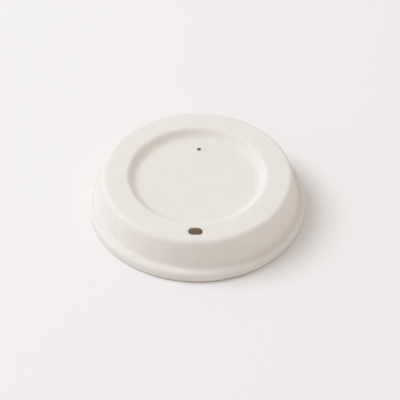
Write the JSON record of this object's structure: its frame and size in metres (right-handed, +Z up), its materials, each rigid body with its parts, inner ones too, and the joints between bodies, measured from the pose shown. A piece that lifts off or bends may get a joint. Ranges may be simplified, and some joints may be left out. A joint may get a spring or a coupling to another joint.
{
  "type": "coffee cup lid",
  "caption": "Round moulded-fibre sip lid with a flat drinking ledge, a shallow central recess, a sloping side wall and a short skirt that snaps over a cup's rolled rim.",
  "frame": {"origin": "centre of the trimmed bottom edge, on the surface that the lid stands on", "axes": "+Z up along the lid's axis, from the trimmed edge to the drinking ledge; -Y from the axis towards the sip hole, +Y towards the vent"},
  "size_m": [0.0926, 0.0926, 0.0177],
  "materials": {
    "fibre": "matt off-white pressed plant fibre"
  },
  "bodies": {
    "root": {"lid": "fibre"}
  },
  "joints": []
}
